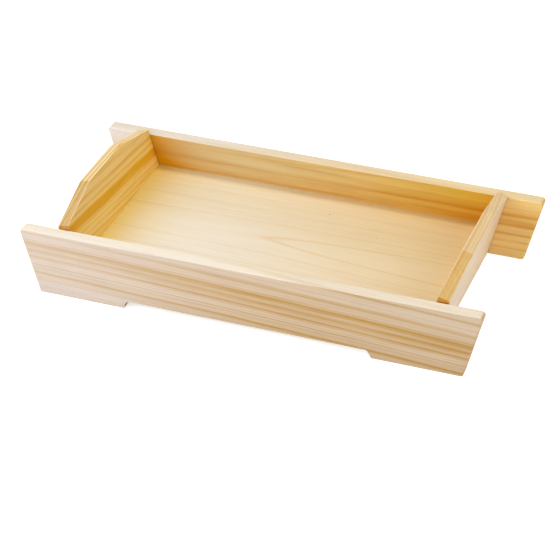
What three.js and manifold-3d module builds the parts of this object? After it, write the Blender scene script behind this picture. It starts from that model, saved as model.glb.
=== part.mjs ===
// Boat-shaped serving dish in white wood: two long side planks with raked ends, two end boards that
// lean outwards between them, and a raised floor. The floor sits in grooves, and blind dowels join
// the end boards to the planks. X runs along the dish, Y across it, and Z up from the table.
import * as THREE from 'three';
import { mergeVertices } from 'three/addons/utils/BufferGeometryUtils.js';
import Module from 'manifold-3d';

const wasm = await Module();
wasm.setup();

// Driving dimensions, in millimetres and degrees
const dishWidth = 186; // over the outer faces of the planks
const rake = 14.6; // slope of the plank ends and of the end boards, from upright

const plankLength = 390; // along the top edge
const plankHeight = 58;
const plankThickness = 11;
const plankCornerRadius = 3; // blunted top corners
const plankOverhang = 30.5; // plank past the outer face of the end board, measured level

const notchLength = 211; // foot notch, along the table
const notchHeight = 6.8;
const notchSlope = 62; // slope of the notch's ends, from level
const notchCornerRadius = 3; // round inner corners of the notch

const boardThickness = 9.5;
const shoulderRise = 4.4; // end board's lower corners above the planks
const crestRise = 17.2; // end board's raised middle above the planks
const crestLength = 61;
const crestCornerRadius = 15; // soft turn from the crest to its shoulders
const boardLift = 0.6; // end board's lowest edge above the table

const floorHeight = 29; // top of the floor above the table
const floorThickness = 6;
const grooveDepth = 3.5; // housing for the floor's edges

const dowelDiameter = 5;
const dowelDepthInPlank = 6;
const dowelDepthInBoard = 16;
const dowelChamfer = 0.6;
const dowelSides = 20;

const easing = 1; // rounding of every handled edge
const easingSteps = 2;
const cornerSteps = 4;
const fitGap = 0.3; // clearance between pieces that fit together
const floorPlay = 0.5; // room for the floor to swell in its grooves

// Places that follow from the driving dimensions
const lean = THREE.MathUtils.degToRad(rake);
const upright = Math.PI / 2;
const insideHalfWidth = dishWidth / 2 - plankThickness;
const plankTopHalf = plankLength / 2;
const plankBottomHalf = plankTopHalf - plankHeight * Math.tan(lean);
const boardFootX = plankBottomHalf - plankOverhang - boardThickness / Math.cos(lean);
const grooveBottom = floorHeight - floorThickness - fitGap;
const grooveTop = floorHeight + fitGap;

// Finishes of the bare white wood
const finishes = {
  plank: { color: 0xf1dcb4, roughness: 0.62, metalness: 0 },
  board: { color: 0xe8c88c, roughness: 0.62, metalness: 0 },
  floor: { color: 0xf4e0ae, roughness: 0.55, metalness: 0 },
  dowel: { color: 0xe3c79a, roughness: 0.7, metalness: 0 },
};

// Solids

// Closed geometry as a solid that can be cut.
function toSolid(geometry) {
  geometry.deleteAttribute('normal');
  geometry.deleteAttribute('uv');
  const merged = mergeVertices(geometry);
  return new wasm.Manifold(new wasm.Mesh({
    numProp: 3,
    vertProperties: new Float32Array(merged.attributes.position.array),
    triVerts: new Uint32Array(merged.index.array),
  }));
}

// Solid as a geometry for a mesh.
function toGeometry(solid) {
  const { vertProperties, triVerts } = solid.getMesh();
  const geometry = new THREE.BufferGeometry();
  geometry.setAttribute('position', new THREE.BufferAttribute(vertProperties, 3));
  geometry.setIndex(new THREE.BufferAttribute(triVerts, 1));
  geometry.computeVertexNormals();
  return geometry;
}

// Geometry with every tool taken out of it.
function cut(geometry, tools) {
  return toGeometry(tools.reduce((solid, tool) => solid.subtract(toSolid(tool)), toSolid(geometry)));
}

// Box between two corners.
function block(low, high) {
  const size = high.clone().sub(low);
  const middle = low.clone().add(high).multiplyScalar(0.5);
  return new THREE.BoxGeometry(size.x, size.y, size.z).translate(middle.x, middle.y, middle.z);
}

// Board of the given outline with its edges rounded. The outline's plane is one face of the board,
// and the thickness lies behind it.
function easedBoard(outline, thickness) {
  const geometry = new THREE.ExtrudeGeometry(outline, {
    depth: thickness - 2 * easing,
    bevelEnabled: true,
    bevelSize: easing,
    bevelThickness: easing,
    bevelOffset: -easing,
    bevelSegments: easingSteps,
    curveSegments: cornerSteps,
  });
  return geometry.translate(0, 0, easing);
}

// Mesh of one piece in its own finish.
function piece(name, geometry, finish) {
  const mesh = new THREE.Mesh(geometry, new THREE.MeshStandardMaterial(finish));
  mesh.name = name;
  return mesh;
}

// Dowels

// Each joint has two dowels, one centred below the floor's groove and one centred above it.
const dowelHeights = {
  lower: (boardLift + grooveBottom) / 2,
  upper: (grooveTop + plankHeight) / 2,
};
const dowelMiddleY = insideHalfWidth + (dowelDepthInPlank - dowelDepthInBoard) / 2;

// Middle plane of the right end board at a height above the table.
function boardMiddleX(height) {
  return boardFootX + boardThickness / 2 / Math.cos(lean) + height * Math.tan(lean);
}

// Dowel across the joint, along Y, with chamfered ends short of both holes.
function dowelGeometry() {
  const radius = dowelDiameter / 2;
  const halfLength = (dowelDepthInPlank + dowelDepthInBoard) / 2;
  const profile = new THREE.Path();
  profile.moveTo(0, -halfLength);
  profile.lineTo(radius - dowelChamfer, -halfLength);
  profile.lineTo(radius, dowelChamfer - halfLength);
  profile.lineTo(radius, halfLength - dowelChamfer);
  profile.lineTo(radius - dowelChamfer, halfLength);
  profile.lineTo(0, halfLength);
  return new THREE.LatheGeometry(profile.getPoints(), dowelSides);
}

// Holes for the dowels of the right end board, through its joint with the front (-1) or back (1) plank.
function dowelHoles(side) {
  const radius = dowelDiameter / 2 + fitGap;
  const length = dowelDepthInPlank + dowelDepthInBoard + 2 * fitGap;
  return Object.values(dowelHeights).map((height) => {
    const hole = new THREE.CylinderGeometry(radius, radius, length, dowelSides);
    return hole.translate(boardMiddleX(height), side * dowelMiddleY, height);
  });
}

// Floor

// The grooves in the planks and end boards end here. An end board's is as deep as stated at the top of
// the floor, and deeper below, where the board leans in.
const grooveEndX = boardFootX + grooveTop * Math.tan(lean) + grooveDepth;
const grooveEndY = insideHalfWidth + grooveDepth;

function floorGroove() {
  return block(
    new THREE.Vector3(-grooveEndX, -grooveEndY, grooveBottom),
    new THREE.Vector3(grooveEndX, grooveEndY, grooveTop),
  );
}

// Square-edged panel, short of the grooves by its play.
function floorPanel() {
  const high = new THREE.Vector3(grooveEndX - floorPlay, grooveEndY - floorPlay, floorHeight);
  const low = new THREE.Vector3(-high.x, -high.y, floorHeight - floorThickness);
  return block(low, high);
}

// Side planks

// Raked outline with blunted top corners, standing on two feet.
function plankOutline() {
  const outline = new THREE.Shape();
  const slope = THREE.MathUtils.degToRad(notchSlope);
  const notchHalf = notchLength / 2;
  const notchTopHalf = notchHalf - notchHeight / Math.tan(slope);
  const roundX = notchTopHalf - notchCornerRadius * Math.tan(slope / 2);
  const roundHeight = notchHeight - notchCornerRadius;
  const cornerReach = plankCornerRadius * Math.tan((upright + lean) / 2);
  const cornerX = plankTopHalf - cornerReach;
  const cornerHeight = plankHeight - plankCornerRadius;
  outline.moveTo(-plankBottomHalf, 0);
  outline.lineTo(-notchHalf, 0);
  outline.absarc(-roundX, roundHeight, notchCornerRadius, upright + slope, upright, true);
  outline.absarc(roundX, roundHeight, notchCornerRadius, upright, upright - slope, true);
  outline.lineTo(notchHalf, 0);
  outline.lineTo(plankBottomHalf, 0);
  outline.absarc(cornerX, cornerHeight, plankCornerRadius, -lean, upright, false);
  outline.absarc(-cornerX, cornerHeight, plankCornerRadius, upright, Math.PI + lean, false);
  outline.closePath();
  return outline;
}

// Front plank in place: grooved for the floor and bored for the dowels of both end boards.
function plankGeometry() {
  const stock = easedBoard(plankOutline(), plankThickness);
  stock.rotateX(upright).translate(0, -insideHalfWidth, 0);
  const rightHoles = dowelHoles(-1);
  const leftHoles = dowelHoles(1).map((hole) => hole.rotateZ(Math.PI));
  return cut(stock, [floorGroove(), ...rightHoles, ...leftHoles]);
}

// End boards

// Outline across the board and up its inner face, with a raised crest and sloping shoulders. It runs
// past both ends, where the board is then sawn to length.
function boardOutline(spare) {
  const outline = new THREE.Shape();
  const upFace = (height) => height / Math.cos(lean);
  const foot = upFace(boardLift) + boardThickness * Math.tan(lean);
  const shoulder = upFace(plankHeight + shoulderRise);
  const crest = upFace(plankHeight + crestRise);
  const crestHalf = crestLength / 2;
  const fall = (crest - shoulder) / (insideHalfWidth - crestHalf);
  const turn = Math.atan(fall);
  const cornerY = crestHalf - crestCornerRadius * Math.tan(turn / 2);
  const cornerHeight = crest - crestCornerRadius;
  const endY = insideHalfWidth + spare;
  const endHeight = shoulder - fall * spare;
  outline.moveTo(-endY, foot);
  outline.lineTo(endY, foot);
  outline.lineTo(endY, endHeight);
  outline.absarc(cornerY, cornerHeight, crestCornerRadius, upright - turn, upright, false);
  outline.absarc(-cornerY, cornerHeight, crestCornerRadius, upright, upright + turn, false);
  outline.lineTo(-endY, endHeight);
  outline.closePath();
  return outline;
}

// Waste to saw off the back end of an end board, in the board's frame, at a fit's gap from the plank.
function endWaste(spare) {
  const reach = 2 * (plankHeight + crestRise);
  return block(
    new THREE.Vector3(-reach, insideHalfWidth - fitGap, -reach),
    new THREE.Vector3(reach, insideHalfWidth + 2 * spare, reach),
  );
}

// Right end board in its own frame: X out of the board, Y across it, Z up its inner face. The frame's
// matrix puts it in the dish, where the floor's groove and the dowels' holes are placed.
function boardGeometry(frameMatrix) {
  const spare = plankThickness;
  const across = new THREE.Vector3(0, 1, 0);
  const up = new THREE.Vector3(0, 0, 1);
  const out = new THREE.Vector3(1, 0, 0);
  const stock = easedBoard(boardOutline(spare), boardThickness);
  stock.applyMatrix4(new THREE.Matrix4().makeBasis(across, up, out));
  const intoFrame = frameMatrix.clone().invert();
  const housings = [floorGroove(), ...dowelHoles(-1), ...dowelHoles(1)];
  housings.forEach((housing) => housing.applyMatrix4(intoFrame));
  return cut(stock, [endWaste(spare), endWaste(spare).rotateZ(Math.PI), ...housings]);
}

// Assembly

// One end of the dish: its leaning board and the four dowels that hold it.
function dishEnd(name, nearPlank, farPlank) {
  const end = new THREE.Group();
  const leaning = new THREE.Group();
  leaning.position.x = boardFootX;
  leaning.rotation.y = lean;
  leaning.updateMatrix();
  leaning.add(piece(`${name}_end_board`, boardGeometry(leaning.matrix), finishes.board));
  end.add(leaning);
  for (const [plank, side] of [[nearPlank, -1], [farPlank, 1]]) {
    for (const [level, height] of Object.entries(dowelHeights)) {
      const dowel = piece(`${name}_${plank}_${level}_dowel`, dowelGeometry(), finishes.dowel);
      dowel.position.set(boardMiddleX(height), side * dowelMiddleY, height);
      end.add(dowel);
    }
  }
  return end;
}

const dish = new THREE.Group();
dish.add(piece('front_side_plank', plankGeometry(), finishes.plank));
dish.add(dishEnd('right', 'front', 'back'));

// The other plank and the other end are the same pieces, turned half round.
const turned = new THREE.Group();
turned.rotation.z = Math.PI;
turned.add(piece('back_side_plank', plankGeometry(), finishes.plank));
turned.add(dishEnd('left', 'back', 'front'));
dish.add(turned);

dish.add(piece('floor_panel', floorPanel(), finishes.floor));

export default dish;
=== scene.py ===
"""Looks of a boat-shaped serving dish in bare white wood.

Two raked side planks hold two leaning end boards and a raised floor. Each board is a solid of its own,
with eased edges and its real housings. Each is cut from its own piece of timber: the grain is a solid
pattern in the board's own directions, so that faces, edges and end grain belong together.
"""

import functools
import itertools
import logging
import math
from abc import ABC, abstractmethod
from collections.abc import Callable, Iterable, Mapping, Sequence
from dataclasses import dataclass
from enum import Enum
from typing import ClassVar, NamedTuple

import bmesh
import bpy
from mathutils import Matrix, Vector


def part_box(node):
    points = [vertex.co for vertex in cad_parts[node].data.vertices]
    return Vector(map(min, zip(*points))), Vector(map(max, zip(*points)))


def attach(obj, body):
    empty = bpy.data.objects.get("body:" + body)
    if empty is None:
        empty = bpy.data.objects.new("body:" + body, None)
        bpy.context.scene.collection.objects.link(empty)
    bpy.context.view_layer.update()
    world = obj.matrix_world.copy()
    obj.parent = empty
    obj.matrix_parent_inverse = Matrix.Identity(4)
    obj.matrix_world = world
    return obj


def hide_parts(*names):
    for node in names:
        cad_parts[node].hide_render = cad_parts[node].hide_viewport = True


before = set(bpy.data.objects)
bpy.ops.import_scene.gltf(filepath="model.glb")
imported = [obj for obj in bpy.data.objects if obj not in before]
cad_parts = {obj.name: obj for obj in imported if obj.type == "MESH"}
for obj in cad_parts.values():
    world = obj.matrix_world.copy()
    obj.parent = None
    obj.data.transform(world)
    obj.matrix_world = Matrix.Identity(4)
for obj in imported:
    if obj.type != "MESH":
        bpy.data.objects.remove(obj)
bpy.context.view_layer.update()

MM = 0.001
BODY = "root"
FLOOR_NODE = "floor_panel"
RAKE = math.radians(14.6)  # of the planks' ends and of the end boards
log = logging.getLogger("serving_dish")

Colour = tuple[float, float, float]
Range = tuple[float, float]
Socket = bpy.types.NodeSocket
Value = float | bpy.types.NodeSocket
Feed = Value | Sequence[float]
Cut = Callable[[bmesh.types.BMesh], None]


class Side(Enum):
    """Which of the two side planks, by its direction along Y from the middle of the dish."""

    FRONT = -1
    BACK = 1


class End(Enum):
    """Which of the two ends of the dish, by its direction along X from the middle."""

    LEFT = -1
    RIGHT = 1


class Level(Enum):
    """Which of the two dowels of a joint, counted from the table."""

    LOWER = 1
    UPPER = 2


class Cell(Enum):
    """One cell of uneven growth: its length and width in millimetres, its detail and its roughness."""

    WANDER = (110, 26, 2, 0.5)
    FRAY = (26, 2.4, 2, 0.5)
    PATCH = (120, 8, 2, 0.5)
    STREAK = (140, 1.2, 1, 0.5)
    CLOUD = (70, 9, 2, 0.5)
    FIBRE = (22, 0.55, 3, 0.6)
    PORE = (4, 0.25, 0, 0.5)


class Onset(Enum):
    """Where a change in the wood begins and where it is complete."""

    FACE = (-0.7, 0.7)  # these six by the way that the surface faces
    SAP = (-1.0, 0.3)
    EDGE = (0.4, 0.95)
    END = (0.3, 0.8)
    FALL = (-0.22, -0.1)
    ARRIS = (0.02, 0.2)
    PATCH = (0.3, 0.7)  # these two by the level of a cell
    PORE = (0.66, 0.8)
    FLECK = (0.3, 1.2)  # by the square of the distance from a mark's middle


def plank_node(side: Side) -> str:
    """Names the solid of a side plank."""
    return f"{side.name}_side_plank".lower()


def dowel_node(end: End, side: Side, level: Level) -> str:
    """Names the solid of the dowel between an end board and a side plank."""
    return f"{end.name}_{side.name}_{level.name}_dowel".lower()


def tone(code: str) -> Colour:
    """Linear colour of a six-digit sRGB code."""
    parts = (int(code[place:place + 2], 16) / 255 for place in (0, 2, 4))
    return tuple(part / 12.92 if part <= 0.04045 else ((part + 0.055) / 1.055) ** 2.4 for part in parts)


# Shader nodes


class NodePen:
    """Writes the nodes of one material or world."""

    def __init__(self, tree: bpy.types.NodeTree) -> None:
        """Empties the tree and keeps it."""
        self.tree = tree
        tree.nodes.clear()

    def feed(self, target: Socket, value: Feed) -> None:
        """Links a socket into the target, or sets the target to a constant.

        Args:
            target: the socket that is fed.
            value: the other socket, or the constant.
        """
        if isinstance(value, bpy.types.NodeSocket):
            self.tree.links.new(value, target)
        else:
            target.default_value = value

    def node(
        self, kind: str, feeds: Sequence[Feed] | Mapping[str, Feed] = (), **settings: object
    ) -> bpy.types.Node:
        """Adds a node.

        Args:
            kind: Blender's name for the kind of node.
            feeds: what goes into its sockets, in their order or by their names.
            settings: the node's own settings.

        Returns:
            The new node.
        """
        made = self.tree.nodes.new(kind)
        for name, setting in settings.items():
            setattr(made, name, setting)
        named = feeds.items() if isinstance(feeds, Mapping) else enumerate(feeds)
        for key, value in named:
            self.feed(made.inputs[key], value)
        return made

    def math(self, operation: str, *values: Value, clamp: bool = False) -> Socket:
        """Adds one sum.

        Args:
            operation: Blender's name for the sum.
            values: its terms, as sockets or numbers.
            clamp: keeps the result from 0 to 1.

        Returns:
            The result's socket.
        """
        return self.node("ShaderNodeMath", values, operation=operation, use_clamp=clamp).outputs[0]

    def total(self, *values: Value) -> Socket:
        """Adds several values up."""
        return functools.reduce(functools.partial(self.math, "ADD"), values)

    def product(self, *values: Value) -> Socket:
        """Multiplies several values."""
        return functools.reduce(functools.partial(self.math, "MULTIPLY"), values)

    def less(self, value: Value, taken: Value) -> Socket:
        """Takes one value from another."""
        return self.math("SUBTRACT", value, taken)

    def dot(self, vector: Socket, direction: Sequence[float]) -> Socket:
        """Measures a vector along a direction."""
        made = self.node("ShaderNodeVectorMath", (vector, direction), operation="DOT_PRODUCT")
        return made.outputs["Value"]

    def scaled(self, vector: Socket, factors: Sequence[float]) -> Socket:
        """Multiplies a vector's parts."""
        made = self.node("ShaderNodeVectorMath", (vector, factors), operation="MULTIPLY")
        return made.outputs["Vector"]

    def combined(self, *parts: Value) -> Socket:
        """Makes a vector of three parts."""
        return self.node("ShaderNodeCombineXYZ", parts).outputs[0]

    def stepped(self, value: Socket, span: Range, results: Range = (0.0, 1.0)) -> Socket:
        """Eases smoothly from one result to another.

        Args:
            value: what is measured.
            span: where the change begins and where it is complete.
            results: the results before and after the change.

        Returns:
            The eased value's socket.
        """
        feeds = (value, *span, *results)
        return self.node("ShaderNodeMapRange", feeds, interpolation_type="SMOOTHSTEP").outputs["Result"]

    def spread(self, value: Socket, start: float, end: float) -> Socket:
        """Stretches a value of 0 to 1 evenly between two results."""
        return self.node("ShaderNodeMapRange", (value, 0.0, 1.0, start, end)).outputs["Result"]

    def noise(self, vector: Socket, detail: float, roughness: float = 0.5) -> Socket:
        """Adds soft noise of about one cell to each unit."""
        feeds = {"Vector": vector, "Scale": 1.0, "Detail": detail, "Roughness": roughness}
        return self.node("ShaderNodeTexNoise", feeds, noise_dimensions="3D").outputs["Fac"]

    def profile(self, place: Socket, points: Sequence[Range]) -> Socket:
        """Reads a height off a line through points.

        Args:
            place: where along the line.
            points: the line's places and heights, in order.

        Returns:
            The height's socket.
        """
        low = points[0][0]
        reach = points[-1][0] - low
        made = self.node("ShaderNodeValToRGB", (self.math("DIVIDE", self.less(place, low), reach),))
        stops = made.color_ramp.elements
        while len(stops) < len(points):
            stops.new(0.5)  # until it gets its place below
        for stop, (where, height) in zip(stops, points):
            stop.position = (where - low) / reach
            stop.color = (height, height, height, 1)
        return made.outputs["Color"]

    def mix(
        self, share: Value, first: Socket | Colour, second: Socket | Colour, blend: str = "MIX"
    ) -> Socket:
        """Mixes two colours.

        Args:
            share: share of the second colour.
            first: the colour to begin with.
            second: the colour mixed in.
            blend: Blender's name for the way of mixing.

        Returns:
            The mixed colour's socket.
        """
        made = self.node("ShaderNodeMix", {"Factor": share}, data_type="RGBA", blend_type=blend)
        targets = [target for target in made.inputs if target.type == "RGBA"]
        for target, colour in zip(targets, (first, second)):
            self.feed(target, colour if isinstance(colour, bpy.types.NodeSocket) else (*colour, 1))
        return next(out for out in made.outputs if out.type == "RGBA")

    def tint(self, colour: Socket, factors: Socket | Colour, share: Value = 1.0) -> Socket:
        """Multiplies a colour's red, green and blue by factors, in full or in part."""
        return self.mix(share, colour, factors, "MULTIPLY")


# Places in the wood


@dataclass(frozen=True)
class BoardAxes:
    """Directions of a board in the dish, and the point that its grain is measured from."""

    along: Vector
    across: Vector
    through: Vector  # from the outer face to the inner one
    origin: Vector


class BoardPen(NodePen):
    """Writes the wood of one board, and knows its surface in the board's own directions.

    Attributes:
        place: place in the dish.
        along: millimetres along the grain.
        across: millimetres across the face.
        through: millimetres through the board.
        together: these three as one vector.
        inward: the way the surface faces, from -1 on the outer face to 1 on the inner one.
        lengthwise: the way it faces along the grain, from -1 to 1.
        upright: share of an edge, from 0 to 1.
    """

    def __init__(self, tree: bpy.types.NodeTree, axes: BoardAxes) -> None:
        """Empties the tree and measures the surface.

        Args:
            tree: the material's nodes.
            axes: the board's directions in the dish.
        """
        super().__init__(tree)
        surface = self.node("ShaderNodeTexCoord").outputs
        self.place = surface["Object"]
        parts = [
            self.less(self.dot(self.place, axis / MM), axis.dot(axes.origin) / MM)
            for axis in (axes.along, axes.across, axes.through)
        ]
        self.along, self.across, self.through = parts
        self.together = self.combined(*parts)
        edgewise = self.math("ABSOLUTE", self.dot(surface["Normal"], axes.across))
        self.inward = self.dot(surface["Normal"], axes.through)
        self.lengthwise = self.dot(surface["Normal"], axes.along)
        self.upright = self.stepped(edgewise, Onset.EDGE.value)

    def uneven(self, cell: Cell) -> Socket:
        """Adds soft noise that is drawn out along the grain.

        Args:
            cell: the size and kind of the noise.

        Returns:
            The noise, from 0 to 1.
        """
        length, width, detail, roughness = cell.value
        drawn_out = self.scaled(self.together, (1 / length, 1 / width, 1 / width))
        return self.noise(drawn_out, detail, roughness)


class PaintedShadeAndJoints(NamedTuple):
    """Where shade is painted inside the dish, and where the joints darken, as shares from 0 to 1."""

    # painted shade and warm bounce light on the faces inside the dish
    faces: Socket
    # painted shade in the corners at the end boards
    corners: Socket
    # painted shadow beside the seams of floor and planks
    seams: Socket
    # dark joints of the end boards with the planks
    joints: Socket


@dataclass(frozen=True)
class DishInside:
    """Space between the boards, above the floor, where shade and warm bounce light are painted into the
    wood's colour.
    """

    foot: float  # where an end board's inner face would meet the table
    half_width: float
    floor: float
    rim: float  # height of the planks above the floor
    lean: float = RAKE
    skin: float = 0.3 * MM  # how far outside the inner faces the painted shade still reaches
    full_skin: float = 0.06 * MM  # and where it is full
    board_reach: float = 34 * MM  # how far painted corner shade reaches beside a board
    seam_reach: float = 8 * MM  # and painted shade beside the seams of floor and planks
    joint_reach: float = 1.1 * MM
    board_roundness: float = 1.3
    seam_roundness: float = 2.0

    def depths(self, pen: BoardPen) -> tuple[Socket, Socket, Socket]:
        """Measures how far a place lies inside the dish.

        Args:
            pen: the board's pen.

        Returns:
            The depths inside the end boards, the planks and the floor.
        """
        x, y, z = pen.node("ShaderNodeSeparateXYZ", (pen.place,)).outputs
        board_x = pen.math("MULTIPLY_ADD", z, math.tan(self.lean), self.foot)
        return (
            pen.less(board_x, pen.math("ABSOLUTE", x)),
            pen.less(self.half_width, pen.math("ABSOLUTE", y)),
            pen.less(z, self.floor),
        )

    def painted_shade_and_joints(self, pen: BoardPen) -> PaintedShadeAndJoints:
        """Works out where shade is painted inside the dish, and where the joints darken.

        Args:
            pen: the board's pen.

        Returns:
            The painted shade and bounce light on the faces inside the dish, the painted shade in its
            corners at the boards and beside the seams of floor and planks, and the dark joints of
            boards with planks.
        """
        depths = self.depths(pen)
        board, plank, floor = depths
        within = pen.product(*(pen.stepped(depth, (-self.skin, -self.full_skin)) for depth in depths))
        by_board = self.nearness(pen, board, self.board_reach, self.board_roundness)
        by_plank = self.nearness(pen, plank, self.seam_reach, self.seam_roundness)
        by_floor = self.nearness(pen, floor, self.seam_reach, self.seam_roundness)
        by_joint = self.nearness(pen, plank, self.joint_reach, self.seam_roundness)
        below_rim = pen.stepped(floor, (self.rim - self.skin, self.rim + self.skin), (1.0, 0.0))
        return PaintedShadeAndJoints(
            faces=within,
            corners=pen.product(within, by_board, pen.math("MAXIMUM", by_plank, by_floor)),
            seams=pen.product(within, by_plank, by_floor),
            joints=pen.product(below_rim, by_joint),
        )

    def nearness(self, pen: BoardPen, depth: Socket, reach: float, roundness: float) -> Socket:
        """Falls away from 1 with depth inside a face, slowly at first if it is round."""
        share = pen.math("DIVIDE", pen.math("MAXIMUM", depth, 0.0), reach)
        return pen.math("EXPONENT", pen.product(pen.math("POWER", share, roundness), -1.0))


# Wood


@dataclass(frozen=True)
class StraightGrain:
    """Ring lines that run nearly straight along a face."""

    slope: float = 0.0  # the lines' fall along the grain
    sweep: float = 0.0  # and its change along the grain

    def lines(self, pen: BoardPen) -> Socket:
        """Measures how far a place lies across the ring lines.

        Args:
            pen: the board's pen.

        Returns:
            The distance's socket.
        """
        fall = pen.product(pen.along, self.slope)
        bend = pen.product(pen.along, pen.along, self.sweep)
        return pen.total(pen.across, fall, bend)


@dataclass(frozen=True)
class FlameGrain:
    """Pointed figure where a face cuts a growth ring at a slant, open towards the grain's direction."""

    along: float  # tip, in millimetres from the board's origin
    across: float
    blunt: float  # width of the tip
    opening: float  # how fast the sides part
    closing: float  # how fast the rings close up before the tip
    reach: float  # width over which the opening dies away
    drift: float  # sideways lean of the whole figure

    def lines(self, pen: BoardPen) -> Socket:
        """Measures how far a place lies outside the flame.

        Args:
            pen: the board's pen.

        Returns:
            The distance's socket.
        """
        from_tip = pen.less(pen.along, self.along)
        past_tip = pen.math("MAXIMUM", from_tip, 0.0)
        before_tip = pen.math("MINIMUM", from_tip, 0.0)
        middle = pen.math("MULTIPLY_ADD", past_tip, self.drift, self.across)
        aside = pen.less(pen.across, middle)
        square = pen.product(aside, aside)
        hollow = pen.math("SQRT", pen.total(square, self.blunt ** 2))
        fade = pen.total(pen.math("DIVIDE", square, self.reach ** 2), 1.0)
        opened = pen.product(past_tip, self.opening)
        parted = pen.math("MULTIPLY_ADD", before_tip, self.closing, opened)
        return pen.less(pen.less(hollow, self.blunt), pen.math("DIVIDE", parted, fade))


@dataclass(frozen=True)
class Fleck:
    """Small dark spot, in millimetres: a mark in the wood, and on the front plank a painted shadow."""

    along: float
    across: float
    half_length: float
    half_width: float
    turn: float = 0.0  # from the grain
    tint: Colour = (0.7, 0.55, 0.35)

    def darken_spot(self, pen: BoardPen, colour: Socket) -> Socket:
        """Darkens a colour where the mark lies.

        Args:
            pen: the board's pen.
            colour: the wood's colour.

        Returns:
            The stained colour's socket.
        """
        aside = pen.less(pen.along, self.along)
        above = pen.less(pen.across, self.across)
        cosine, sine = math.cos(self.turn), math.sin(self.turn)
        lengthwise = pen.total(pen.product(aside, cosine), pen.product(above, sine))
        sideways = pen.total(pen.product(above, cosine), pen.product(aside, -sine))
        spans = ((lengthwise, self.half_length), (sideways, self.half_width))
        squares = [pen.math("POWER", pen.math("DIVIDE", reach, half), 2.0) for reach, half in spans]
        share = pen.stepped(pen.total(*squares), Onset.FLECK.value, (1.0, 0.0))
        return pen.tint(colour, self.tint, share)


NO_SHIFT: Colour = (1.0, 1.0, 1.0)
SHADE_POWERS = (1.0, 1.25, 1.7)  # of red, green and blue, so that darker wood is warmer
YEAR_LINE = ((0.0, 0.0), (0.35, 0.05), (0.8, 1.0), (0.9, 0.8), (1.0, 0.0))  # latewood through a year
YEAR_CHANGE = 0.37  # how fast lean and rich years follow each other


@dataclass(frozen=True)
class FaceTints:
    """How the colour shifts from one side of a board to another, as red, green and blue factors, with
    painted light and shade.
    """

    # painted light and shade of the outer face and of the inner face
    sap: Colour = NO_SHIFT
    inner_face_painted_light: Colour = NO_SHIFT
    edge: Colour = NO_SHIFT
    end: Colour = (0.8, 0.68, 0.52)
    slant: Colour = NO_SHIFT  # an edge that falls towards the start of the grain
    # painted highlight on the rounded arrises
    arris: Colour = (1.06, 1.1, 1.16)
    joint: Colour = NO_SHIFT


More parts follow.
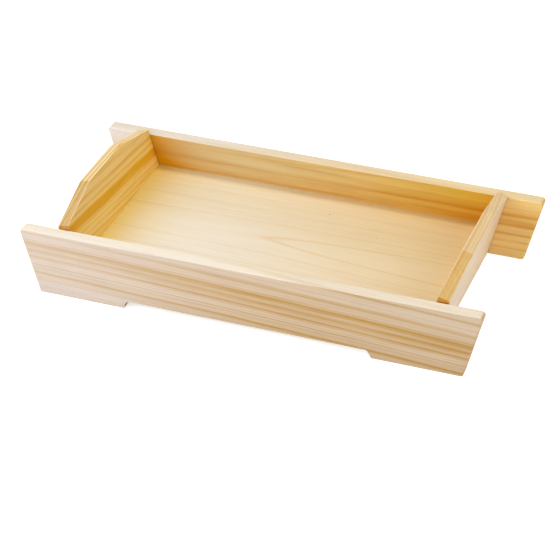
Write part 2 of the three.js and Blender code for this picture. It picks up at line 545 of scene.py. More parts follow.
@dataclass(frozen=True)
class WoodFinish:
    """Planed and sanded bare wood of one board, with painted light and shade in its colour. Lengths are
    in millimetres.
    """

    name: str
    early: Colour
    late: Colour
    growth: tuple[Range, ...]  # share of latewood across the rings
    grain: StraightGrain | FlameGrain = StraightGrain()
    cant: float = 0.4  # ring lines' shift from one face to the other, per millimetre of thickness
    wobble: float = 1.2
    fray: float = 0.3  # raggedness of the ring lines
    patch: float = 0.15  # how unevenly the latewood comes and goes
    ring_spacing: float = 2.7
    ring_depth: float = 0.22
    streak_depth: float = 0.12
    fibre_depth: float = 0.08
    sap_depth: float = 1.0  # share of the latewood that the outer face shows
    edge_depth: float = 1.0  # and that the edges show
    start_depth: float = 1.0  # and that shows at the start of the grain
    # the shift from the start to the end of the grain is partly the board's own tone and partly painted
    # light and shade that change along the dish
    start_tint: Colour = NO_SHIFT
    stop_tint: Colour = NO_SHIFT
    edge_change: float = 1.0  # share of the change along the grain that the edges show
    reach: Range = (-190.0, 190.0)  # where the change along the grain begins and ends
    upper_tint: Colour = NO_SHIFT  # colour shift on the upper side of the face
    upper_reach: Range = (-40.0, 56.0)  # where that begins and is complete
    inside_painted_shade: Colour = NO_SHIFT  # painted shade and warm bounce light on the faces inside the dish
    stop_inside_painted_shade: Colour = NO_SHIFT  # more painted shade added towards the end of the grain
    inside_painted_shade_reach: Range = (20.0, 190.0)  # where that begins and is complete
    painted_corner_shade: Colour = (0.9, 0.8, 0.55)  # painted shade in the corners inside the dish
    deep_stop: float = 1.0  # share of it that is left at the end of the grain
    seam: float = 0.7  # share of it beside the seams of floor and planks
    seam_stop: float = 0.7  # and at the end of the grain
    tints: FaceTints = FaceTints()
    flecks: tuple[Fleck, ...] = ()
    roughness: float = 0.55
    roughness_change: float = 0.1
    gloss: float = 0.35
    relief: float = 0.06
    relief_strength: float = 0.7
    ring_relief: float = 0.5  # height of latewood against the fibres

    def rings(self, pen: BoardPen) -> Socket:
        """Measures how far a place lies across the growth rings, as uneven as they are.

        Args:
            pen: the board's pen.

        Returns:
            The ring distance's socket.
        """
        canted = pen.product(pen.through, self.cant)
        wander = pen.spread(pen.uneven(Cell.WANDER), -self.wobble, self.wobble)
        feather = pen.spread(pen.uneven(Cell.FRAY), -self.fray, self.fray)
        return pen.total(self.grain.lines(pen), canted, wander, feather)

    def year_lines(self, pen: BoardPen, ring: Socket) -> Socket:
        """Draws a thin latewood line for each year, no two years alike.

        Args:
            pen: the board's pen.
            ring: distance across the growth rings.

        Returns:
            The line's share of latewood.
        """
        years = pen.math("DIVIDE", ring, self.ring_spacing)
        lean_years = pen.noise(pen.combined(pen.product(years, YEAR_CHANGE), 0.0, 0.0), detail=0)
        shifted = pen.total(years, lean_years, lean_years)
        year = {"W": pen.math("FLOOR", shifted)}
        chance = pen.node("ShaderNodeTexWhiteNoise", year, noise_dimensions="1D").outputs["Value"]
        line = pen.profile(pen.math("FRACT", shifted), YEAR_LINE)
        return pen.product(line, chance, self.ring_depth)

    def ripeness(self, pen: BoardPen) -> Socket:
        """Works out how much latewood a place shows.

        Args:
            pen: the board's pen.

        Returns:
            The share of latewood, from 0 to 1.
        """
        ring = self.rings(pen)
        patchy = (1 - self.patch, 1 + self.patch)
        patches = pen.stepped(pen.uneven(Cell.PATCH), Onset.PATCH.value, patchy)
        streak = pen.spread(pen.uneven(Cell.STREAK), -self.streak_depth, self.streak_depth)
        picked = pen.product(pen.profile(ring, self.growth), patches)
        grown = pen.total(picked, self.year_lines(pen, ring), streak)
        inner = pen.spread(pen.stepped(pen.inward, Onset.SAP.value), self.sap_depth, 1.0)
        edge = pen.spread(pen.upright, 1.0, self.edge_depth)
        depth = pen.stepped(pen.along, self.reach, (self.start_depth, 1.0))
        return pen.math("MULTIPLY", pen.product(grown, inner, edge), depth, clamp=True)

    def ending(self, pen: BoardPen) -> Socket:
        """Tells how far the change along the grain has gone, which the edges show less of.

        Args:
            pen: the board's pen.

        Returns:
            The share of the change, from 0 to 1.
        """
        gone = pen.stepped(pen.along, self.reach)
        levelled = pen.spread(gone, (1 - self.edge_change) / 2, (1 + self.edge_change) / 2)
        return pen.total(gone, pen.product(pen.upright, pen.less(levelled, gone)))

    def depth(self, pen: BoardPen, ending: Socket, painted_shade_and_joints: PaintedShadeAndJoints) -> Socket:
        """Works out how far the painted corner shade has gone, with corners and seams together.

        Args:
            pen: the board's pen.
            ending: how far the change along the grain has gone.
            painted_shade_and_joints: where shade is painted inside the dish, and where the joints
                darken.

        Returns:
            The share of the shift, from 0 to 1.
        """
        corner = pen.product(painted_shade_and_joints.corners, pen.spread(ending, 1.0, self.deep_stop))
        seam = pen.product(painted_shade_and_joints.seams, pen.spread(ending, self.seam, self.seam_stop))
        return pen.math("ADD", corner, seam, clamp=True)

    def face_tint(self, pen: BoardPen) -> Socket:
        """Works out the colour shift of a face, an edge or an end, with painted light and shade on the
        outer and inner faces.

        Args:
            pen: the board's pen.

        Returns:
            The factors of red, green and blue.
        """
        falling = pen.stepped(pen.lengthwise, Onset.FALL.value, (1.0, 0.0))
        endward = pen.stepped(pen.math("ABSOLUTE", pen.lengthwise), Onset.END.value)
        inner_share = pen.stepped(pen.inward, Onset.FACE.value)
        tint = pen.mix(inner_share, self.tints.sap, self.tints.inner_face_painted_light)
        tint = pen.mix(pen.upright, tint, self.tints.edge)
        tint = pen.mix(pen.product(pen.upright, falling), tint, self.tints.slant)
        return pen.mix(endward, tint, self.tints.end)

    def tinted(self, pen: BoardPen, colour: Socket, painted_shade_and_joints: PaintedShadeAndJoints) -> Socket:
        """Shifts a colour along and across the board, from face to face and inside the dish, painting
        light and shade.

        Args:
            pen: the board's pen.
            colour: the wood's own colour.
            painted_shade_and_joints: where shade is painted inside the dish, and where the joints
                darken.

        Returns:
            The shifted colour's socket.
        """
        ending = self.ending(pen)
        flatness = pen.product(pen.inward, pen.inward)
        turning = pen.product(flatness, pen.less(1.0, flatness))
        stopping = pen.product(painted_shade_and_joints.faces, pen.stepped(pen.along, self.inside_painted_shade_reach))
        for share, tint in (
            # partly the board's own tone along its length, partly painted light and shade
            (1.0, pen.mix(ending, self.start_tint, self.stop_tint)),
            (1.0, self.face_tint(pen)),
            (pen.stepped(pen.across, self.upper_reach), self.upper_tint),
            # painted highlight where a face turns over its rounded arris
            (pen.stepped(turning, Onset.ARRIS.value), self.tints.arris),
            # painted shade and warm bounce light inside the dish, with more towards the end of the
            # grain
            (painted_shade_and_joints.faces, self.inside_painted_shade),
            (stopping, self.stop_inside_painted_shade),
            # painted shade in the corners at the end boards and beside the seams of floor and planks
            (self.depth(pen, ending, painted_shade_and_joints), self.painted_corner_shade),
            (painted_shade_and_joints.joints, self.tints.joint),
        ):
            colour = pen.tint(colour, tint, share)
        return colour

    def shade(self, pen: BoardPen, fibre: Socket) -> Socket:
        """Works out the light and dark of fibres, clouds and pores.

        Args:
            pen: the board's pen.
            fibre: the fibres' noise.

        Returns:
            The factors of red, green and blue.
        """
        depth = self.fibre_depth
        bright = pen.total(
            pen.spread(fibre, 1 - depth, 1 + depth),
            pen.spread(pen.uneven(Cell.CLOUD), -depth, depth),
            pen.stepped(pen.uneven(Cell.PORE), Onset.PORE.value, (0.0, -depth)),
        )
        return pen.combined(*(pen.math("POWER", bright, power) for power in SHADE_POWERS))

    def material(self, axes: BoardAxes, inside: DishInside) -> bpy.types.Material:
        """Makes the board's material.

        Args:
            axes: the board's directions in the dish.
            inside: the inside of the dish.

        Returns:
            The finished material.
        """
        made = bpy.data.materials.new(self.name)
        made.use_nodes = True
        pen = BoardPen(made.node_tree, axes)
        ripe = self.ripeness(pen)
        fibre = pen.uneven(Cell.FIBRE)
        wood = pen.mix(ripe, self.early, self.late)
        wood = self.tinted(pen, wood, inside.painted_shade_and_joints(pen))
        for fleck in self.flecks:
            wood = fleck.darken_spot(pen, wood)
        bump = pen.node("ShaderNodeBump", {
            "Strength": self.relief_strength,
            "Distance": self.relief * MM,
            "Height": pen.total(fibre, pen.product(ripe, self.ring_relief)),
        })
        dullest = self.roughness + self.roughness_change
        smoothest = self.roughness - self.roughness_change
        shader = pen.node("ShaderNodeBsdfPrincipled", {
            "Base Color": pen.tint(wood, self.shade(pen, fibre)),
            "Roughness": pen.spread(fibre, dullest, smoothest),
            "Specular IOR Level": self.gloss,
            "Normal": bump.outputs["Normal"],
        })
        pen.node("ShaderNodeOutputMaterial", {"Surface": shader.outputs["BSDF"]})
        return made


FRONT_WOOD = WoodFinish(
    name="front_plank_wood",
    early=tone("e2d1c1"),
    late=tone("c69a4c"),
    growth=(
        (-6, 0.3), (-1, 0.15), (2, 0.05), (5.2, 0.1), (6.4, 0.5), (7.2, 0.3), (10.5, 0.45),
        (12.8, 0.85), (13.8, 0.4), (17, 0.25), (19.2, 0.3), (20.0, 0.75), (20.7, 0.15), (23.5, 0.15),
        (26, 0.5), (27.2, 0.9), (28, 0.45), (30.8, 0.45), (33.3, 1.0), (34.2, 0.55), (36.5, 0.5),
        (39.4, 1.0), (40.4, 0.6), (42.5, 0.3), (45.5, 0.18), (47.4, 0.35), (48.4, 0.65), (49.2, 0.3),
        (53, 0.12), (59.5, 0.1), (61.6, 0.8), (62.6, 0.2),
    ),
    grain=StraightGrain(slope=0.0456, sweep=3.7e-5),
    wobble=0.8,
    ring_spacing=2.9,
    ring_depth=0.36,
    streak_depth=0.2,
    edge_depth=0.5,
    reach=(-190.0, 70.0),
    start_depth=0.55,
    edge_change=0.15,
    start_tint=(1.06, 1.1, 1.19),
    stop_tint=(0.98, 0.94, 0.84),
    inside_painted_shade=(1.0, 0.88, 0.6),
    tints=FaceTints(edge=(1.03, 1.1, 1.08), end=(0.84, 0.7, 0.55)),
    flecks=(
        # painted shadow: the dark shade at the left end of the foot notch
        Fleck(
            along=-103.2, across=4.4, half_length=3, half_width=0.9, turn=math.radians(62),
            tint=(0.22, 0.15, 0.05),
        ),
    ),
)

BACK_WOOD = WoodFinish(
    name="back_plank_wood",
    early=tone("f1e2ca"),
    late=tone("d49c38"),
    growth=(
        (-3, 0.2), (-0.6, 0.2), (0.3, 0.65), (1.2, 0.38), (4, 0.38), (7, 0.5), (9, 0.95), (10.2, 0.62),
        (12.5, 0.5), (15.5, 0.5), (18.6, 0.6), (19.8, 0.8), (20.8, 0.25), (22, 0.1), (26, 0.15),
        (29.3, 0.6), (30.3, 0.1), (34, 0.1), (36.3, 0.6), (37.3, 0.05), (40, 0.1), (43.5, 0.6),
        (44.5, 0.1), (52, 0.1),
    ),
    grain=FlameGrain(along=-32, across=52, blunt=1.5, opening=0.03, closing=0.01, reach=8, drift=0.008),
    fray=0.7,
    patch=0.35,
    ring_spacing=3.6,
    edge_depth=0.5,
    start_depth=0.45,
    edge_change=0.5,
    start_tint=(0.95, 1.05, 1.38),
    stop_tint=(1.09, 0.93, 0.47),
    inside_painted_shade=(0.84, 0.81, 0.54),
    stop_inside_painted_shade=(0.92, 0.98, 0.34),
    painted_corner_shade=(0.98, 0.55, 0.0),
    deep_stop=0.35,
    seam=0.35,
    seam_stop=0.3,
    tints=FaceTints(inner_face_painted_light=(1.1, 1.08, 1.04), edge=(0.85, 0.85, 0.82), arris=(1.0, 1.02, 1.04)),
)

FLOOR_WOOD = WoodFinish(
    name="floor_wood",
    early=tone("e8e2d4"),
    late=tone("dab070"),
    growth=(
        (-12, 0.1), (-3, 0.12), (-0.8, 0.28), (0, 0.6), (1, 0.2), (5, 0.1), (12, 0.12), (18.5, 0.18),
        (19.5, 0.4), (20.4, 0.12), (27, 0.12), (28, 0.28), (29, 0.1), (36.5, 0.14), (37.6, 0.36),
        (38.6, 0.1), (52, 0.12), (53, 0.3), (54, 0.1), (66, 0.12), (68, 0.3), (69, 0.1), (90, 0.1),
    ),
    grain=FlameGrain(along=-15, across=2, blunt=3, opening=0.19, closing=0.06, reach=14, drift=-0.036),
    cant=2.0,
    ring_spacing=4.2,
    ring_depth=0.06,
    streak_depth=0.05,
    fibre_depth=0.05,
    reach=(-150.0, 150.0),
    start_tint=(1.0, 1.03, 1.09),
    stop_tint=(0.97, 0.84, 0.6),
    # painted shade and warm bounce light on the floor towards the back plank
    upper_tint=(0.92, 0.86, 0.73),
    painted_corner_shade=(0.9, 0.69, 0.2),
    deep_stop=0.2,
    seam=0.1,
    seam_stop=0.6,
    flecks=(
        Fleck(along=20, across=53, half_length=1.3, half_width=0.7),
        Fleck(along=69, across=31, half_length=0.9, half_width=0.5),
    ),
    roughness=0.5,
)

LEFT_WOOD = WoodFinish(
    name="left_board_wood",
    early=tone("efdcb6"),
    late=tone("d9a412"),
    growth=(
        (24, 0.15), (31, 0.2), (33, 0.6), (33.8, 0.2), (36, 0.2), (38, 0.65), (38.8, 0.2),
        (40.5, 0.25), (42, 0.7), (42.8, 0.25), (45, 0.35), (49, 0.85), (54.2, 1.0), (56, 0.45),
        (58, 0.25), (60, 0.75), (60.8, 0.25), (63, 0.3), (66, 0.75), (67, 0.25), (71, 0.25), (75, 0.5),
        (76, 0.15), (79, 0.15), (82, 0.8), (86, 0.85), (89, 0.1), (96, 0.1), (99, 0.8), (103, 0.85),
        (106, 0.1),
    ),
    grain=StraightGrain(slope=0.095),
    cant=-4.0,
    wobble=1.6,
    ring_spacing=3.1,
    ring_depth=0.32,
    streak_depth=0.25,
    sap_depth=0.45,
    reach=(-82.0, 82.0),
    upper_tint=(0.97, 0.95, 1.1),
    upper_reach=(56.0, 64.0),
    inside_painted_shade=(1.06, 0.97, 0.53),
    painted_corner_shade=(0.95, 0.85, 0.6),
    tints=FaceTints(
        edge=(1.03, 1.05, 0.91),
        end=(0.8, 0.55, 0.2),
        slant=(0.78, 0.71, 0.47),
        arris=(1.12, 1.2, 1.35),
        joint=(0.5, 0.34, 0.18),
    ),
)

RIGHT_WOOD = WoodFinish(
    name="right_board_wood",
    early=tone("ebdabf"),
    late=tone("cfa055"),
    growth=(
        (24, 0.15), (40, 0.2), (44, 0.6), (45, 0.2), (54, 0.2), (57, 0.6), (58, 0.2), (66, 0.3),
        (70, 0.7), (71, 0.25), (84, 0.2),
    ),
    grain=StraightGrain(slope=-0.07),
    cant=4.0,
    wobble=1.6,
    ring_spacing=5.0,
    ring_depth=0.4,
    streak_depth=0.25,
    reach=(-82.0, 82.0),
    edge_change=0.2,
    start_tint=(1.03, 1.06, 1.1),
    stop_tint=(1.03, 0.95, 0.8),
    inside_painted_shade=(1.0, 0.88, 0.6),
    tints=FaceTints(
        sap=(0.97, 0.96, 0.98),
        edge=(0.95, 0.9, 0.75),
        end=(0.85, 0.49, 0.06),
        slant=(0.84, 0.69, 0.37),
        arris=(1.12, 1.2, 1.35),
        joint=(0.18, 0.11, 0.04),
    ),
)

DOWEL_WOOD = WoodFinish(
    name="dowel_wood",
    early=tone("ddc39a"),
    late=tone("b88f55"),
    growth=((-3, 0.1), (-1, 0.5), (0, 0.2), (1.5, 0.6), (2, 0.15), (3, 0.1)),
    wobble=0.4,
    fray=0.1,
    ring_spacing=1.6,
    reach=(-90.0, 90.0),
)


# Meshes

ARC_STEPS = 6  # on a blunted corner of an outline
RIM_STEPS = 5  # on the rounding of a rim
BORE_SIDES = 32
CREASE = math.radians(38)  # edges sharper than this stay sharp


class Corner(NamedTuple):
    """Corner of an outline, blunted to a radius."""

    x: float
    y: float
    radius: float


def mirrored(right: Sequence[Corner]) -> list[Corner]:
    """Completes the right half of an outline with its left half."""
    return [*right, *(corner._replace(x=-corner.x) for corner in reversed(right))]


def blunted(corners: Sequence[Corner], inset: float) -> list[Vector]:
    """Draws an outline with blunted corners, inside itself by a distance.

    Args:
        corners: the outline's corners, anticlockwise.
        inset: distance inside the outline.

    Returns:
        The outline's points, as many for any inset.
    """
    places = [Vector((corner.x, corner.y)) for corner in corners]
    points = []
    for index, corner in enumerate(corners):
        here = places[index]
        coming = (here - places[index - 1]).normalized()
        going = (places[(index + 1) % len(places)] - here).normalized()
        bend = math.atan2(coming.cross(going), coming.dot(going))
        hand = 1 if bend > 0 else -1
        inner = Vector((-coming.y, coming.x))
        outer = Vector((-going.y, going.x))
        skew = (inner + outer) / (1 + inner.dot(outer))
        radius = corner.radius - hand * inset
        centre = here + skew * (inset + hand * radius)
        for step in range(ARC_STEPS + 1):
            turn = Matrix.Rotation(bend * step / ARC_STEPS, 2)
            points.append(centre - hand * radius * (turn @ inner))
    return points


def lofted(rings: Iterable[Sequence[Vector]]) -> bmesh.types.BMesh:
    """Makes a closed mesh through rings of points.

    Args:
        rings: the rings in order, with as many points in each.

    Returns:
        The mesh, open for editing.
    """
    made = bmesh.new()
    loops = [[made.verts.new(point) for point in ring] for ring in rings]
    for lower, upper in itertools.pairwise(loops):
        for index in range(len(lower)):
            made.faces.new((lower[index - 1], lower[index], upper[index], upper[index - 1]))
    made.faces.new(loops[0])
    made.faces.new(loops[-1])
    bmesh.ops.recalc_face_normals(made, faces=made.faces[:])
    return made


def eased_slab(
    corners: Sequence[Corner], thickness: float, easing: float, placing: Matrix
) -> bmesh.types.BMesh:
    """Makes a closed board of an outline, with its rims rounded.

    Args:
        corners: the outline's corners, anticlockwise.
        thickness: the board's thickness.
        easing: radius of the rounded rims.
        placing: matrix from the outline's plane and depth to the dish.

    Returns:
        The board's mesh, open for editing.
    """
    angles = [math.pi / 2 * step / RIM_STEPS for step in range(RIM_STEPS + 1)]
    rims = [(easing * (1 - math.sin(angle)), easing * (1 - math.cos(angle))) for angle in angles]
    levels = rims + [(inset, thickness - depth) for inset, depth in reversed(rims)]
    return lofted(
        [placing @ Vector((*point, depth)) for point in blunted(corners, inset)]
        for inset, depth in levels
    )


def place_mesh(name: str, shape: bmesh.types.BMesh) -> bpy.types.Object:
    """Turns an open mesh into an object of the scene.

    Args:
        name: the object's name.
        shape: the mesh, which is used up.

    Returns:
        The object.
    """
    mesh = bpy.data.meshes.new(name)
    shape.to_mesh(mesh)
    shape.free()
    made = bpy.data.objects.new(name, mesh)
    bpy.context.scene.collection.objects.link(made)
    return made


def carve(piece: bpy.types.Object, operation: str, cuts: Iterable[Cut]) -> None:
    """Cuts a piece with tools and throws the tools away.

    Args:
        piece: the piece to cut.
        operation: Blender's name for the way of cutting.
        cuts: functions that each add a closed tool to a mesh.
    """
    shape = bmesh.new()
    for cut in cuts:
        cut(shape)
    tool = place_mesh(f"{piece.name}_tool", shape)
    boolean = piece.modifiers.new("cut", "BOOLEAN")
    boolean.operation = operation
    boolean.solver = "EXACT"
    boolean.object = tool
    shown = piece.evaluated_get(bpy.context.evaluated_depsgraph_get())
    stock = piece.data
    piece.data = bpy.data.meshes.new_from_object(shown)
    piece.modifiers.clear()
    bpy.data.meshes.remove(stock)
    bpy.data.objects.remove(tool)


def box_cut(low: Vector, high: Vector) -> Cut:
    """Gives a cut that is a box between two corners."""
    placing = Matrix.Translation((low + high) / 2) @ Matrix.Diagonal((*(high - low), 1))
    return lambda shape: bmesh.ops.create_cube(shape, size=1, matrix=placing)


def bore_cut(centre: Vector, radius: float, length: float) -> Cut:
    """Gives a cut that is a round bore along Y.

    Args:
        centre: the bore's middle.
        radius: its radius.
        length: its length.

    Returns:
        The cut.
    """
    placing = Matrix.Translation(centre) @ Matrix.Rotation(math.pi / 2, 4, "X")
    return lambda shape: bmesh.ops.create_cone(
        shape,
        cap_ends=True,
        segments=BORE_SIDES,
        radius1=radius,
        radius2=radius,
        depth=length,
        matrix=placing,
    )


def smooth(piece: bpy.types.Object) -> None:
    """Shades the rounded edges smoothly and keeps the flat faces flat.

    Args:
        piece: the finished piece.
    """
    mesh = piece.data
    mesh.polygons.foreach_set("use_smooth", [True] * len(mesh.polygons))
    mesh.set_sharp_from_angle(angle=CREASE)
    weighted = piece.modifiers.new("flat_faces", "WEIGHTED_NORMAL")
    weighted.keep_sharp = True


# Pieces


@dataclass(frozen=True)
class Housings:
    """Room for the floor's edges and the dowels inside the boards."""

    fit_gap: float = 0.3 * MM
    groove_gap: float = 0.06 * MM
    floor_play: float = 0.5 * MM

    def floor_groove(self) -> Cut:
        """Works out the groove round the floor's edges.

        Returns:
            The cut.
        """
        low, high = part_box(FLOOR_NODE)
        room = Vector((self.floor_play, self.floor_play, self.groove_gap))
        return box_cut(low - room, high + room)

    def dowel_bore(self, node: str) -> Cut:
        """Works out the blind bore for one dowel.

        Args:
            node: the dowel's solid.

        Returns:
            The cut.
        """
        low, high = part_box(node)
        size = high - low
        return bore_cut((low + high) / 2, size.z / 2 + self.fit_gap, size.y + 2 * self.fit_gap)

    def cut(self, piece: bpy.types.Object, dowels: Iterable[str]) -> None:
        """Grooves a board for the floor and bores it for its dowels.

        Args:
            piece: the board.
            dowels: the solids of its dowels.
        """
        carve(piece, "DIFFERENCE", [self.floor_groove(), *map(self.dowel_bore, dowels)])


@dataclass
class WoodPiece(ABC):
    """Piece of wood that stands for one solid."""

    finish: WoodFinish
    slot: ClassVar[str]  # name of its material slot, not used in this script

    @property
    @abstractmethod
    def node(self) -> str:
        """Name of the solid that the piece stands for."""

    @property
    def box(self) -> tuple[Vector, Vector]:
        """Lowest and highest corner of the solid."""
        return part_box(self.node)

    @abstractmethod
    def shape(self) -> bmesh.types.BMesh:
        """Makes the piece's outer form, open for editing."""

    @abstractmethod
    def axes(self) -> BoardAxes:
        """Gives the grain's directions."""

    def house(self, piece: bpy.types.Object) -> None:
        """Cuts room for other pieces, in those that hold any."""

    def build(self) -> bpy.types.Object:
        """Builds the piece.

        Returns:
            The finished piece, still bare.
        """
        piece = place_mesh(f"{self.node}_wood", self.shape())
        self.house(piece)
        smooth(piece)
        return piece

    def dress(self, piece: bpy.types.Object, inside: DishInside) -> None:
        """Gives a finished piece its wood and puts it in the place of its solid.

        Args:
            piece: the finished piece.
            inside: the inside of the dish.
        """
        piece.data.materials.clear()
        piece.data.materials.append(self.finish.material(self.axes(), inside))
        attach(piece, BODY)
        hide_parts(self.node)
        log.info("%s: %d faces", piece.name, len(piece.data.polygons))


@dataclass
class SidePlank(WoodPiece):
    """Long upright plank with raked ends, blunted top corners and a foot notch."""

    side: Side
    housings: Housings = Housings()
    rake: float = RAKE
    top_radius: float = 3 * MM
    foot_radius: float = 1.2 * MM
    easing: float = 1 * MM
    notch_length: float = 211 * MM
    notch_height: float = 6.8 * MM
    notch_slope: float = math.radians(62)
    notch_radius: float = 3 * MM
    slot = "side_plank"

    @property
    def node(self) -> str:
        """Name of the solid that this plank stands for."""
        return plank_node(self.side)

    def outline(self) -> list[Corner]:
        """Draws the plank's face, from the notch round to the notch.

        Returns:
            The outline's corners, anticlockwise.
        """
        low, high = self.box
        blunting = self.top_radius * (math.tan((math.pi / 2 + self.rake) / 2) - 1)
        top_half = high.x + blunting
        foot_half = top_half - high.z * math.tan(self.rake)
        notch_half = self.notch_length / 2
        notch_top_half = notch_half - self.notch_height / math.tan(self.notch_slope)
        return mirrored((
            Corner(notch_top_half, self.notch_height, self.notch_radius),
            Corner(notch_half, low.z, self.foot_radius),
            Corner(foot_half, low.z, self.foot_radius),
            Corner(top_half, high.z, self.top_radius),
        ))

    def shape(self) -> bmesh.types.BMesh:
        """Makes the plank from its outer face inwards.

        Returns:
            The plank's mesh, open for editing.
        """
        low, high = self.box
        outer = low.y if self.side is Side.FRONT else high.y
        placing = Matrix((
            (1, 0, 0, 0),
            (0, 0, -self.side.value, outer),
            (0, 1, 0, 0),
            (0, 0, 0, 1),
        ))
        return eased_slab(self.outline(), high.y - low.y, self.easing, placing)

    def house(self, piece: bpy.types.Object) -> None:
        """Cuts the floor's groove and the bores of four dowels."""
        dowels = [dowel_node(end, self.side, level) for end in End for level in Level]
        self.housings.cut(piece, dowels)

    def axes(self) -> BoardAxes:
        """Gives the grain's directions: along X, and through the plank towards the inside of the dish.
        """
        inward = Vector((0, -self.side.value, 0))
        return BoardAxes(Vector((1, 0, 0)), Vector((0, 0, 1)), inward, Vector((0, self.box[0].y, 0)))


@dataclass
class EndBoard(WoodPiece):
    """Leaning board between the planks, with a raised crest and sloping shoulders."""

    end: End
    housings: Housings = Housings()
    lean: float = RAKE
    thickness: float = 9.5 * MM
    easing: float = 1 * MM
    blunting: float = 1.5 * MM
    crest_length: float = 61 * MM
    crest_radius: float = 15 * MM
    shoulder_rise: float = 4.4 * MM
    spare: float = 11 * MM  # length past the ends, sawn off after shaping
    glue_reach: float = 0.0  # how far the glued ends reach past the solid's
    slot = "end_board"

    @property
    def node(self) -> str:
        """Name of the solid that this board stands for."""
        return f"{self.end.name}_end_board".lower()

    @property
    def up(self) -> Vector:
        """Direction up the board's face."""
        return Vector((self.end.value * math.sin(self.lean), 0, math.cos(self.lean)))

    @property
    def out(self) -> Vector:
        """Direction out of the dish, through the board."""
        return Vector((self.end.value * math.cos(self.lean), 0, -math.sin(self.lean)))

    def crest(self) -> float:
        """Gives the crest's height up the inner face from the table."""
        rounding = self.easing * (math.cos(self.lean) + math.sin(self.lean) - 1)
        return (self.box[1].z + rounding) / math.cos(self.lean)

    def foot(self) -> float:
        """Gives the lowest edge's height up the inner face from the table."""
        sunk = (self.thickness - self.easing) * math.sin(self.lean)
        return (self.box[0].z + self.easing + sunk) / math.cos(self.lean) - self.easing

    def origin(self) -> Vector:
        """Finds the point where the inner face would meet the table.

        Returns:
            The point, in the middle of the board.
        """
        low, high = self.box
        reach = max(abs(low.x), abs(high.x))
        rise = (self.crest() - self.easing) * math.sin(self.lean)
        depth = (self.thickness - self.easing) * math.cos(self.lean)
        return Vector((self.end.value * (reach - rise - depth - self.easing), 0, 0))

    def outline(self) -> list[Corner]:
        """Draws the board's face across and up, running past both ends.

        Returns:
            The outline's corners, anticlockwise.
        """
        plank_low, plank_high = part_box(plank_node(Side.BACK))
        inside_half = plank_low.y
        shoulder = (plank_high.z + self.shoulder_rise) / math.cos(self.lean)
        crest_half = self.crest_length / 2
        fall = (self.crest() - shoulder) / (inside_half - crest_half)
        end_half = inside_half + self.spare
        end_height = shoulder - fall * self.spare
        return mirrored((
            Corner(end_half, self.foot(), self.blunting),
            Corner(end_half, end_height, self.blunting),
            Corner(crest_half, self.crest(), self.crest_radius),
        ))

    def shape(self) -> bmesh.types.BMesh:
        """Makes the board from its inner face outwards, with spare length.

        Returns:
            The board's mesh, open for editing.
        """
        turn = Matrix((Vector((0, 1, 0)), self.up, self.out)).transposed().to_4x4()
        placing = Matrix.Translation(self.origin()) @ turn
        return eased_slab(self.outline(), self.thickness, self.easing, placing)

    def house(self, piece: bpy.types.Object) -> None:
        """Saws the board to length, and cuts the floor's groove and the bores of four dowels.

        Args:
            piece: the board with its spare length.
        """
        low, high = self.box
        room = Vector((self.spare, self.glue_reach, self.spare))
        carve(piece, "INTERSECT", [box_cut(low - room, high + room)])
        dowels = [dowel_node(self.end, side, level) for side in Side for level in Level]
        self.housings.cut(piece, dowels)

    def axes(self) -> BoardAxes:
        """Gives the grain's directions: along Y, and through the board towards the inside of the dish.
        """
        return BoardAxes(Vector((0, 1, 0)), self.up, -self.out, self.origin())


@dataclass
class FloorPanel(WoodPiece):
    """Flat floor of the dish, with its edges in the grooves."""

    easing: float = 0.4 * MM
    corner_radius: float = 1 * MM
    slot = "floor_panel"

    @property
    def node(self) -> str:
        """Name of the solid that the floor stands for."""
        return FLOOR_NODE

    def shape(self) -> bmesh.types.BMesh:
        """Makes the panel from its underside up.

        Returns:
            The panel's mesh, open for editing.
        """
        low, high = self.box
        outline = mirrored([Corner(high.x, y, self.corner_radius) for y in (low.y, high.y)])
        return eased_slab(outline, high.z - low.z, self.easing, Matrix.Translation((0, 0, low.z)))

    def axes(self) -> BoardAxes:
        """Gives the grain's directions: along X, and through the panel upwards."""
        top = Vector((0, 0, self.box[1].z))
        return BoardAxes(Vector((1, 0, 0)), Vector((0, 1, 0)), Vector((0, 0, 1)), top)


@dataclass
class FlutedDowel(WoodPiece):
    """Blind dowel with chamfered ends and flutes for the glue."""

    end: End
    side: Side
    level: Level
    flutes: int = 12
    flute_depth: float = 0.18 * MM
    chamfer: float = 0.6 * MM
    points: int = 72
    slot = "dowel"

    @property
    def node(self) -> str:
        """Name of the solid that this dowel stands for."""
        return dowel_node(self.end, self.side, self.level)

    def ring(self, place: float, radius: float) -> list[Vector]:
        """Draws the dowel's fluted round.

        Args:
            place: place along Y from the dowel's middle.
            radius: radius over the ridges.

        Returns:
            The round's points.
        """
        low, high = self.box
        centre = (low + high) / 2
        points = []
        for index in range(self.points):
            angle = math.tau * index / self.points
            reach = radius - self.flute_depth * (0.5 - 0.5 * math.cos(self.flutes * angle))
            offset = Vector((reach * math.cos(angle), place, reach * math.sin(angle)))
            points.append(centre + offset)
        return points

    def shape(self) -> bmesh.types.BMesh:
        """Makes the dowel along Y, where its solid lies.

        Returns:
            The dowel's mesh, open for editing.
        """
        low, high = self.box
        radius = (high.z - low.z) / 2
        half = (high.y - low.y) / 2
        stations = (
            (-half, radius - self.chamfer),
            (self.chamfer - half, radius),
            (half - self.chamfer, radius),
            (half, radius - self.chamfer),
        )
        return lofted(itertools.starmap(self.ring, stations))

    def axes(self) -> BoardAxes:
        """Gives the grain's directions: along Y, from the dowel's middle."""
        low, high = self.box
        return BoardAxes(Vector((0, 1, 0)), Vector((0, 0, 1)), Vector((1, 0, 0)), (low + high) / 2)


# Studio


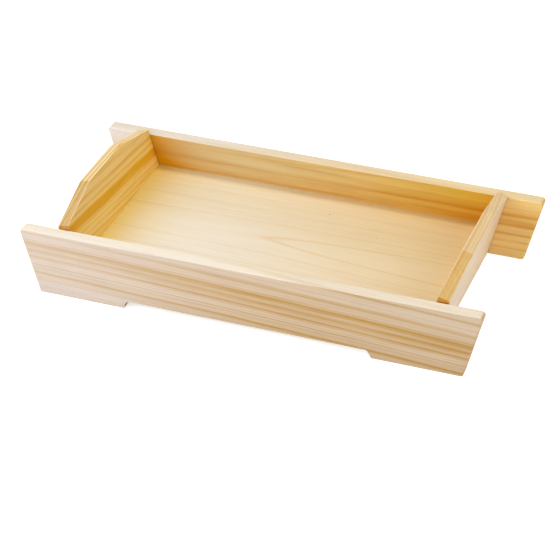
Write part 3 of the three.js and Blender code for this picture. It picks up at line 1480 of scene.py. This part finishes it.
@dataclass(frozen=True)
class SoftLamp:
    """Square soft lamp, aimed at the dish. A level of 1 shows a facing colour as it is written."""

    name: str
    direction: tuple[float, float, float]
    distance: float
    size: float
    level: float

    def build(self) -> None:
        """Hangs the lamp."""
        data = bpy.data.lights.new(self.name, "AREA")
        data.shape = "SQUARE"
        data.size = self.size
        data.energy = self.level * (math.pi * self.distance) ** 2
        lamp = bpy.data.objects.new(self.name, data)
        towards = Vector(self.direction).normalized()
        lamp.location = towards * self.distance
        lamp.rotation_euler = towards.to_track_quat("Z", "Y").to_euler()
        bpy.context.scene.collection.objects.link(lamp)


@dataclass(frozen=True)
class ViewPoint:
    """Camera of the photograph, with angles in degrees."""

    azimuth: float = 21.13
    elevation: float = 33.72
    roll: float = 1.1
    target: tuple[float, float, float] = (-0.47 * MM, -12.45 * MM, 0.0)
    distance: float = 1880.7 * MM
    lens: float = 146.76
    sensor: float = 36.0

    def build(self) -> None:
        """Sets the camera up and makes it the scene's."""
        turn, rise, roll = (math.radians(angle) for angle in (self.azimuth, self.elevation, self.roll))
        level = math.cos(rise)
        back = Vector((math.sin(turn) * level, -math.cos(turn) * level, math.sin(rise)))
        right = Vector((math.cos(turn), math.sin(turn), 0))
        up = back.cross(right)
        rolled_right = math.cos(roll) * right - math.sin(roll) * up
        rolled_up = math.sin(roll) * right + math.cos(roll) * up
        data = bpy.data.cameras.new("photo_camera")
        data.lens = self.lens
        data.sensor_width = self.sensor
        camera = bpy.data.objects.new("photo_camera", data)
        turned = Matrix((rolled_right, rolled_up, back)).transposed().to_4x4()
        camera.matrix_world = Matrix.Translation(Vector(self.target) + back * self.distance) @ turned
        bpy.context.scene.collection.objects.link(camera)
        bpy.context.scene.camera = camera


@dataclass
class Studio:
    """White table and room, soft lamps and the camera."""

    table_half: float = 6.0
    table_colour: Colour = (0.86, 0.86, 0.86)
    table_glow: float = 0.68  # shows without lighting the dish, so that the open table is white
    ambient: float = 0.42
    view: ViewPoint = ViewPoint()
    lamps: tuple[SoftLamp, ...] = (
        SoftLamp("back_key", (-0.2, 0.3, 0.93), distance=1.3, size=0.22, level=0.34),
        SoftLamp("overhead", (0.0, 0.0, 1.0), distance=1.3, size=0.5, level=0.06),
        SoftLamp("left_fill", (-0.5, -0.62, 0.6), distance=1.3, size=1.0, level=0.49),
        SoftLamp("right_fill", (0.85, -0.2, 0.48), distance=1.6, size=1.2, level=0.37),
    )

    def seen(self, pen: NodePen) -> Socket:
        """Tells the rays that show the studio from those that only light the dish.

        Args:
            pen: the pen of the table's material or of the room.

        Returns:
            1 for a ray that shows the studio, or else 0.
        """
        path = pen.node("ShaderNodeLightPath").outputs
        plain = pen.math("MAXIMUM", path["Is Camera Ray"], path["Is Glossy Ray"])
        return pen.math("MAXIMUM", plain, path["Is Transmission Ray"])

    def build_table(self) -> None:
        """Lays the table."""
        shape = bmesh.new()
        bmesh.ops.create_grid(shape, x_segments=1, y_segments=1, size=self.table_half)
        table = place_mesh("table", shape)
        material = bpy.data.materials.new("white_table")
        material.use_nodes = True
        pen = NodePen(material.node_tree)
        paper = pen.node("ShaderNodeBsdfDiffuse", {"Color": (*self.table_colour, 1)})
        strength = pen.product(self.seen(pen), self.table_glow)
        glow = pen.node("ShaderNodeEmission", {"Strength": strength})
        both = pen.node("ShaderNodeAddShader", (paper.outputs[0], glow.outputs[0]))
        pen.node("ShaderNodeOutputMaterial", {"Surface": both.outputs[0]})
        table.data.materials.append(material)

    def build_room(self) -> None:
        """Makes the room white to look at, and dim as a light."""
        world = bpy.data.worlds.new("white_room")
        world.use_nodes = True
        bpy.context.scene.world = world
        pen = NodePen(world.node_tree)
        strength = pen.spread(self.seen(pen), self.ambient, 1.0)
        backdrop = pen.node("ShaderNodeBackground", {"Strength": strength})
        pen.node("ShaderNodeOutputWorld", {"Surface": backdrop.outputs[0]})

    def build(self) -> None:
        """Sets the whole studio up."""
        bpy.context.scene.view_settings.view_transform = "Standard"
        self.build_table()
        self.build_room()
        for lamp in self.lamps:
            lamp.build()
        self.view.build()


def main() -> None:
    """Builds and dresses the dish, board by board, and sets the studio up."""
    logging.basicConfig(level=logging.INFO, format="%(name)s: %(message)s")
    Studio().build()
    right_board = EndBoard(RIGHT_WOOD, End.RIGHT)
    plank_low, plank_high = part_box(plank_node(Side.BACK))
    floor_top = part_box(FLOOR_NODE)[1].z
    inside = DishInside(
        foot=right_board.origin().x,
        half_width=plank_low.y,
        floor=floor_top,
        rim=plank_high.z - floor_top,
    )
    pieces = [
        SidePlank(FRONT_WOOD, Side.FRONT),
        SidePlank(BACK_WOOD, Side.BACK),
        EndBoard(LEFT_WOOD, End.LEFT, glue_reach=0.24 * MM),
        right_board,
        FloorPanel(FLOOR_WOOD),
        *(FlutedDowel(DOWEL_WOOD, *place) for place in itertools.product(End, Side, Level)),
    ]
    for piece in pieces:
        piece.dress(piece.build(), inside)


if __name__ == "__main__":
    main()
